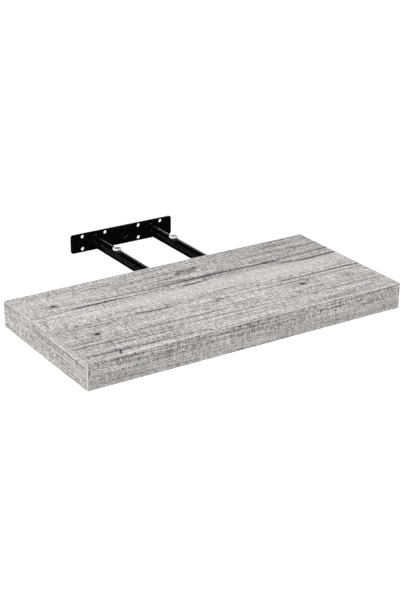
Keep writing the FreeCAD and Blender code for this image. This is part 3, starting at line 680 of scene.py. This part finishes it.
def wood_tone(tree, place, swayed, given):
    """The print's pale and mid greys: long straight grain, and saw marks that cross it.
    Each layer is spread so that its usual range fills 0 to 1."""
    broad = spread(tree, grain_noise(tree, swayed, (0.005, 0.030), 3.0), 0.32, 0.68)
    bands = spread(tree, grain_noise(tree, swayed, (0.008, 0.11), 9.0, distortion=0.3), 0.32, 0.68)
    lines = spread(tree, grain_noise(tree, swayed, (0.006, 0.25), 17.0, 3.0, 0.6), 0.35, 0.63)
    streaks = spread(tree, grain_noise(tree, swayed, (0.006, 0.74), 23.0), 0.37, 0.59)
    fibres = spread(tree, grain_noise(tree, swayed, (0.012, 0.94), 29.0, 2.0, 0.7), 0.37, 0.59)
    hairs = spread(tree, grain_noise(tree, swayed, (0.17, 1.1), 47.0, 2.0, 0.7), 0.37, 0.60)
    threads = spread(tree, stretched_noise(tree, place, (0.50, 3.4), 67.0, 2.0, 0.7), 0.34, 0.64)
    ticks = spread(tree, stretched_noise(tree, place, (0.62, 0.11), 41.0, 2.0, 0.6), 0.36, 0.62)
    grit = spread(tree, stretched_noise(tree, place, (0.50, 0.60), 53.0, 2.0, 0.6), 0.36, 0.62)
    saw_drift = spread(tree, stretched_noise(tree, place, (0.024, 0.05), 37.0, 3.0), 0.38, 0.62, 0.5, 0.74)
    coarse = layered(tree, (
        (broad, 0.06, 0.5), (bands, 0.14, 0.5), (lines, 0.19, 0.55),
    ), given.outputs["Coarse"])
    fine = layered(tree, (
        (streaks, 0.50, 0.58), (fibres, 0.50, 0.58), (hairs, 0.62, 0.57), (threads, 0.36, 0.5),
    ), given.outputs["Fine"])
    sawn = layered(tree, ((grit, 1.0, 0.54), (ticks, saw_drift, 0.54)), given.outputs["Sawn"])
    figure = maths(tree, "ADD", maths(tree, "ADD", coarse, fine), sawn)
    lively = 1.0
    for zone in CALM_ZONES:
        lively = maths(tree, "ADD", speck_mark(tree, swayed, *zone, 0.0, CALMING), lively)
    tone = maths(tree, "MULTIPLY_ADD", figure, lively, BASE_TONE)
    for area in AREAS:
        tone = maths(tree, "ADD", tone, speck_mark(tree, swayed, *area))
    return tone


def split_darkness(tree, place, along, over):
    """The long splits: a broken dark core in a faint shade."""
    jitter = maths(tree, "SUBTRACT", stretched_noise(tree, place, (0.12, 0.3), 7.0, 3.0, 0.6), 0.5)
    ragged_over = maths(tree, "ADD", over, maths(tree, "MULTIPLY", jitter, SPLIT_RAG))
    broken = spread(tree, stretched_noise(tree, place, (0.07, 0.2), 13.0, 3.0, 0.7), 0.36, 0.56)
    core_share = maths(tree, "MULTIPLY_ADD", broken, 0.2, 0.8)
    dark = 0.0
    for line, strength, half_width in SPLITS:
        line_over = curve_along(tree, along, line, 0.0, PRINT_WIDTH)
        gap = maths(tree, "ABSOLUTE", maths(tree, "SUBTRACT", ragged_over, line_over))
        core = spread(tree, gap, half_width * 2.4, half_width * 1.4, smooth=True)
        shade = spread(tree, gap, half_width * 6.0, 0.0, 0.0, SHADE_STRENGTH, smooth=True)
        depth = curve_along(tree, along, strength, 0.0, 1.0)
        cut = maths(tree, "MULTIPLY", core, core_share)
        whole = maths(tree, "MULTIPLY", maths(tree, "MAXIMUM", cut, shade), depth)
        dark = maths(tree, "MAXIMUM", dark, whole)
    return dark


def pore_darkness(tree, swayed):
    """Short dark dashes along the grain, in drifts."""
    drift = spread(tree, grain_noise(tree, swayed, (0.02, 0.09), 61.0), 0.42, 0.62)
    dashes = spread(tree, grain_noise(tree, swayed, (0.10, 0.8), 71.0, 2.0, 0.6), 0.60, 0.70)
    in_drifts = maths(tree, "MULTIPLY", dashes, maths(tree, "MULTIPLY_ADD", drift, 0.7, 0.3))
    return maths(tree, "MULTIPLY", in_drifts, PORE_STRENGTH)


def driftwood_print():
    """The printed figure, in millimetres: along the grain in x, over it in y."""
    group, given, result = new_effect(
        "driftwood_print",
        (
            ("Vector", "Vector", None), ("Coarse", "Float", 1.0),
            ("Fine", "Float", 1.0), ("Sawn", "Float", 0.5),
        ),
        ("Tone", "Dark", "Warm", "Height"),
    )
    place = given.outputs["Vector"]
    parts = fit(group, "SeparateXYZ", {"Vector": place})
    along, over = parts.outputs["X"], parts.outputs["Y"]
    wander = maths(group, "SUBTRACT", stretched_noise(group, place, (0.011, 0.022)), 0.5)
    swayed_over = maths(group, "ADD", over, maths(group, "MULTIPLY", wander, SWAY))
    swayed_parts = {"X": along, "Y": swayed_over, "Z": parts.outputs["Z"]}
    swayed = fit(group, "CombineXYZ", swayed_parts).outputs["Vector"]

    tone = wood_tone(group, place, swayed, given)
    dark = split_darkness(group, place, along, over)
    rag = maths(group, "SUBTRACT", stretched_noise(group, place, (0.4, 0.6), 5.0, 3.0, 0.6), 0.5)
    ragged = maths(group, "MULTIPLY", rag, MARK_RAG)
    for mark in MARKS:
        dark = maths(group, "MAXIMUM", dark, speck_mark(group, place, *mark, ragged))
    dark = maths(group, "MULTIPLY", dark, INK_STRENGTH, clamp=True)
    dark = maths(group, "MAXIMUM", dark, pore_darkness(group, swayed))
    warm = spread(group, grain_noise(group, swayed, (0.008, 0.05), 83.0), 0.35, 0.65)
    height = maths(group, "MULTIPLY_ADD", dark, -1.0, maths(group, "MULTIPLY", tone, 0.5))
    plug(group, result, {"Tone": tone, "Dark": dark, "Warm": warm, "Height": height})
    return group


print_effect = driftwood_print()


def laminate_finish(
    name, origin, along, over, darkest=PANEL_DARKEST, lightest=PANEL_LIGHTEST, weave=PANEL_WEAVE,
):
    """Laminate or edge band. Its print starts at an origin and runs along one axis and over another."""
    finish, tree, shader = new_finish(name)
    from_origin = vector_maths(tree, "SUBTRACT", in_millimetres(tree), origin)
    u = vector_maths(tree, "DOT_PRODUCT", from_origin, along)
    v = vector_maths(tree, "DOT_PRODUCT", from_origin, over)
    place = fit(tree, "CombineXYZ", {"X": u, "Y": v, "Z": 0.0}).outputs["Vector"]
    coarse, fine, sawn = weave
    printed = use_effect(tree, print_effect, {"Vector": place, "Coarse": coarse, "Fine": fine, "Sawn": sawn})
    greys = two_tone(tree, spread(tree, printed.outputs["Tone"], -0.15, 1.15), darkest, lightest)
    tinted = blend(tree, printed.outputs["Warm"], greys, WARM_TINT, "MULTIPLY")
    inked = blend(tree, printed.outputs["Dark"], tinted, SPLIT_INK)
    plug(tree, shader, {
        "Base Color": inked,
        "Specular IOR Level": 0.35,
        "Roughness": spread(tree, printed.outputs["Dark"], 0.0, 1.0, 0.56, 0.78),
        "Normal": relief(tree, printed.outputs["Height"], 0.35, 0.1 * MM),
    })
    return finish, tree, shader, inked


def crisp_edges(node, amount):
    """Join a CAD node's loose faces and take the sharpness off its edges."""
    node.modifiers.new("join", "WELD").merge_threshold = 1e-6
    ease = node.modifiers.new("ease", "BEVEL")
    ease.width, ease.segments, ease.limit_method = amount, 2, "ANGLE"
    ease.angle_limit = math.radians(40)
    node.modifiers.new("even_normals", "WEIGHTED_NORMAL").keep_sharp = True
    for face in node.data.polygons:
        face.use_smooth = True


def coat(node, finish):
    node.data.materials.clear()
    node.data.materials.append(finish)


low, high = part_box("front_band")
board_left, board_right, board_front = round(low.x / MM), round(high.x / MM), round(low.y / MM)
low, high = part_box("rear_band")
board_back = round(high.y / MM)
top_laminate = laminate_finish("top_laminate", (board_left, board_back, 0), (1, 0, 0), (0, -1, 0))[0]
bottom_laminate = laminate_finish(
    "bottom_laminate", (board_right, board_front, 0), (-1, 0, 0), (0, 1, 0),
)[0]
for name, finish in (("top_panel", top_laminate), ("bottom_panel", bottom_laminate)):
    coat(nodes[name], finish)
    crisp_edges(nodes[name], EDGE_EASE)


# ---------------------------------------------------------------- edge bands
# Plastic bands, 1 mm thick, printed to match the panels and glued on last. Their trimmed edges
# show the pale plastic under the print as a thin line round the board.
BAND_THICKNESS, HALF_THICKNESS = 1, 19
POCKET_HALF_WIDTH, POCKET_HALF_HEIGHT = 92, 16
# How far from a corner, an end or the pocket the pale edge starts to show, and where it is full.
CORNER_FADE, END_FADE, POCKET_FADE = (0.28, 0.16), (0.85, 0.65), (0.3, 0.1)
BAND_DARKEST, BAND_LIGHTEST = (0.075, 0.071, 0.068), (0.87, 0.845, 0.815)
TRIMMED_PALE, TRIMMED_END = (0.80, 0.785, 0.76, 1), (0.66, 0.645, 0.62, 1)
LONG_BAND_SHADE = 0.93
BAND_WEAVE, FRONT_WEAVE, LEFT_WEAVE = (0.2, 1.15, 0.4), (0.0, 1.34, 0.78), (0.0, 1.4, 0.9)


def band_finish(
    name, origin, along, shade=1.0, is_long=False, opening=False, trimmed=TRIMMED_PALE, weave=BAND_WEAVE,
):
    """The print on a band, with pale trimmed edges. A long band also shows the end bands' edges."""
    finish, tree, shader, inked = laminate_finish(
        name, origin, along, (0, 0, -1),
        darkest=(*(shade * c for c in BAND_DARKEST), 1), lightest=(*(shade * c for c in BAND_LIGHTEST), 1),
        weave=weave,
    )
    mm = fit(tree, "SeparateXYZ", {"Vector": in_millimetres(tree)})
    height = maths(tree, "ABSOLUTE", mm.outputs["Z"])
    cut_edge = spread(tree, height, *(HALF_THICKNESS - off for off in CORNER_FADE))
    if is_long:
        left_end = spread(tree, mm.outputs["X"], *(board_left + off for off in END_FADE))
        right_end = spread(tree, mm.outputs["X"], *(board_right - off for off in END_FADE))
        cut_edge = maths(tree, "MAXIMUM", cut_edge, maths(tree, "MAXIMUM", left_end, right_end))
    if opening:
        off_middle = maths(tree, "ABSOLUTE", mm.outputs["X"])
        inside_x = spread(tree, off_middle, *(POCKET_HALF_WIDTH + off for off in POCKET_FADE))
        inside_z = spread(tree, height, *(POCKET_HALF_HEIGHT + off for off in POCKET_FADE))
        cut_edge = maths(tree, "MAXIMUM", cut_edge, maths(tree, "MULTIPLY", inside_x, inside_z))
    plug(tree, shader, {"Base Color": blend(tree, cut_edge, inked, trimmed)})
    return finish


# Each band is cut from a strip of its own, this many millimetres over the print.
FRONT_STRIP, REAR_STRIP, LEFT_STRIP, RIGHT_STRIP = 319, 419, 619, 719
end_start = board_front + BAND_THICKNESS
band_prints = {
    "front_band": band_finish(
        "front_band_print", (board_left, 0, FRONT_STRIP), (1, 0, 0), LONG_BAND_SHADE, is_long=True,
        weave=FRONT_WEAVE,
    ),
    "rear_band": band_finish(
        "rear_band_print", (board_left, 0, REAR_STRIP), (1, 0, 0), LONG_BAND_SHADE, is_long=True,
        opening=True,
    ),
    "end_band_left": band_finish(
        "left_band_print", (0, end_start, LEFT_STRIP), (0, 1, 0), trimmed=TRIMMED_END, weave=LEFT_WEAVE,
    ),
    "end_band_right": band_finish(
        "right_band_print", (0, end_start, RIGHT_STRIP), (0, 1, 0), trimmed=TRIMMED_END,
    ),
}
for name, finish in band_prints.items():
    coat(nodes[name], finish)
    crisp_edges(nodes[name], EDGE_EASE)


# ---------------------------------------------------------------- rails and guides
# Frame of raw chipboard between the panels, and softwood guides in halves round each tube's
# passage. They show in the slot at the back and inside the passages.
CHIP_BROWN, CHIP_PALE = (0.22, 0.13, 0.065, 1), (0.60, 0.44, 0.27, 1)
SOFTWOOD_RING, SOFTWOOD_PALE = (0.45, 0.27, 0.12, 1), (0.74, 0.56, 0.35, 1)
chipboard, tree, shader = new_finish("raw_chipboard")
mm = in_millimetres(tree)
squashed = vector_maths(tree, "MULTIPLY", mm, (0.42, 0.42, 1.1))
scatter = fit(tree, "TexNoise", {"Vector": mm, "Scale": 0.3}).outputs["Color"]
chips = fit(tree, "TexVoronoi", {
    "Vector": vector_maths(tree, "ADD", squashed, scatter), "Scale": 1.0, "Randomness": 1.0,
}, feature="F1")
chip_tone = fit(tree, "SeparateColor", {"Color": chips.outputs["Color"]}).outputs["Red"]
chip_share = maths(tree, "MULTIPLY", chip_tone, 0.6)
mixed_tone = maths(tree, "MULTIPLY_ADD", noise(tree, mm, 1.4, 3.0), 0.5, chip_share)
plug(tree, shader, {
    "Base Color": two_tone(tree, mixed_tone, CHIP_BROWN, CHIP_PALE, 0.2, 0.85),
    "Roughness": spread(tree, chip_tone, 0.0, 1.0, 0.7, 0.9),
    "Normal": relief(tree, chips.outputs["Distance"], 0.5, 0.3 * MM),
})

softwood, tree, shader = new_finish("planed_softwood")
mm = in_millimetres(tree)
rings = fit(tree, "TexWave", {
    "Vector": vector_maths(tree, "MULTIPLY", mm, (0.28, 0.004, 0.28)),
    "Scale": 1.3, "Distortion": 3.5, "Detail": 2.0, "Detail Scale": 0.6,
}, wave_type="BANDS", bands_direction="DIAGONAL")
fibre = noise(tree, vector_maths(tree, "MULTIPLY", mm, (2.0, 0.05, 2.0)), 1.0, 3.0)
figure = maths(tree, "MULTIPLY_ADD", fibre, 0.5, maths(tree, "MULTIPLY", rings.outputs["Fac"], 0.5))
plug(tree, shader, {
    "Base Color": two_tone(tree, figure, SOFTWOOD_RING, SOFTWOOD_PALE),
    "Roughness": spread(tree, fibre, 0.3, 0.7, 0.6, 0.8),
    "Normal": relief(tree, figure, 0.2, 0.2 * MM),
})
for name in ("front_rail", "rear_rail", "end_rail_left", "end_rail_right"):
    coat(nodes[name], chipboard)
for side, _ in SIDES:
    for half in ("upper", "lower"):
        coat(nodes[f"guide_{side}_{half}"], softwood)


# ---------------------------------------------------------------- honeycomb
# Brown kraft paper, glued in strips and pulled open between the panels. It keeps the hollow
# board's faces flat.
KRAFT_BROWN, KRAFT_PALE = (0.33, 0.21, 0.11, 1), (0.50, 0.35, 0.20, 1)
kraft, tree, shader = new_finish("kraft_paper")
pulp_place = vector_maths(tree, "MULTIPLY", in_millimetres(tree), (1.0, 1.0, 0.3))
pulp = noise(tree, pulp_place, 1.2, 4.0, 0.7)
plug(tree, shader, {
    "Base Color": two_tone(tree, pulp, KRAFT_BROWN, KRAFT_PALE, 0.3, 0.7),
    "Roughness": spread(tree, pulp, 0.3, 0.7, 0.8, 0.95),
    "Normal": relief(tree, pulp, 0.3, 0.2 * MM),
})
for name in ("honeycomb_left", "honeycomb_middle", "honeycomb_right"):
    coat(nodes[name], kraft)


# ---------------------------------------------------------------- floor and light
# White paper floor and surround, with soft boxes: the main one high on the left, one behind for
# the line along the tubes, and weak ones that open up the other sides.
FLOOR_HALF_WIDTH, FLOOR_DROP = 8, 1.6
PAPER_SHADE, PAPER_WHITE, WHITE = (0.93, 0.93, 0.93, 1), (0.95, 0.95, 0.95, 1), (1, 1, 1, 1)
floor_paper, tree, shader = new_finish("white_paper")
paper = noise(tree, in_millimetres(tree), 0.02)
plug(tree, shader, {
    "Base Color": two_tone(tree, paper, PAPER_SHADE, PAPER_WHITE),
    "Roughness": 0.9,
    "Emission Color": WHITE,
    "Emission Strength": 1.0,
})
bm = bmesh.new()
floor_place = Matrix.Translation((0, 0, -FLOOR_DROP))
bmesh.ops.create_grid(bm, x_segments=8, y_segments=8, size=FLOOR_HALF_WIDTH, matrix=floor_place)
floor = bpy.data.objects.new("floor", as_mesh(bm, "floor"))
floor.data.materials.append(floor_paper)
bpy.context.scene.collection.objects.link(floor)
floor.visible_glossy = False


def soft_box(name, place, aim, size, power, in_gloss=True):
    """A lamp behind a white sheet. It shows in glossy faces only if it should draw a line there."""
    lamp = bpy.data.lights.new(name, "AREA")
    lamp.shape = "RECTANGLE"
    lamp.size, lamp.size_y = size
    lamp.energy = power
    holder = bpy.data.objects.new(name, lamp)
    holder.location = place
    holder.rotation_euler = (Vector(aim) - Vector(place)).to_track_quat("-Z", "Y").to_euler()
    holder.visible_glossy = in_gloss
    holder.visible_camera = False
    bpy.context.scene.collection.objects.link(holder)


shelf_middle, tubes_middle, plate_middle = (-0.04, -0.25, 0.0), (0, -0.1, 0), (0, 0, 0)
soft_box("main_box", (-1.5, -0.6, 2.3), shelf_middle, (1.6, 1.6), 43.5, in_gloss=False)
soft_box("overhead_box", (0.3, 0.1, 2.4), shelf_middle, (2.0, 2.0), 34, in_gloss=False)
soft_box("front_box", (0.3, -2.6, 0.5), shelf_middle, (1.5, 1.0), 18, in_gloss=False)
soft_box("left_box", (-2.6, 0.2, 0.5), shelf_middle, (1.5, 1.2), 22.5, in_gloss=False)
soft_box("rim_box", (1.25, 1.50, 0.42), tubes_middle, (0.5, 0.16), 1.0)
soft_box("crest_box", (1.1, 1.6, 0.85), tubes_middle, (0.35, 0.2), 0.35)
soft_box("weld_box", (0.93, -0.69, 1.63), plate_middle, (0.4, 0.4), 3.0)
soft_box("low_strip", (-1.08, 1.39, -0.36), tubes_middle, (0.5, 0.1), 0.25)
soft_box("streak_strip", (-1.1, 1.6, 0.5), tubes_middle, (0.4, 0.06), 0.3)
soft_box("right_box", (2.4, -0.3, 0.7), shelf_middle, (1.5, 1.2), 10, in_gloss=False)
soft_box("back_box", (-0.3, 2.4, 0.6), shelf_middle, (1.5, 1.2), 10, in_gloss=False)

surround = bpy.data.worlds.new("white_surround")
bpy.context.scene.world = surround
surround.use_nodes = True
plug(surround.node_tree, surround.node_tree.nodes["Background"], {"Color": WHITE, "Strength": 1.0})
surround.cycles_visibility.glossy = False
surround.cycles_visibility.diffuse = False
bpy.context.scene.view_settings.view_transform = "Standard"
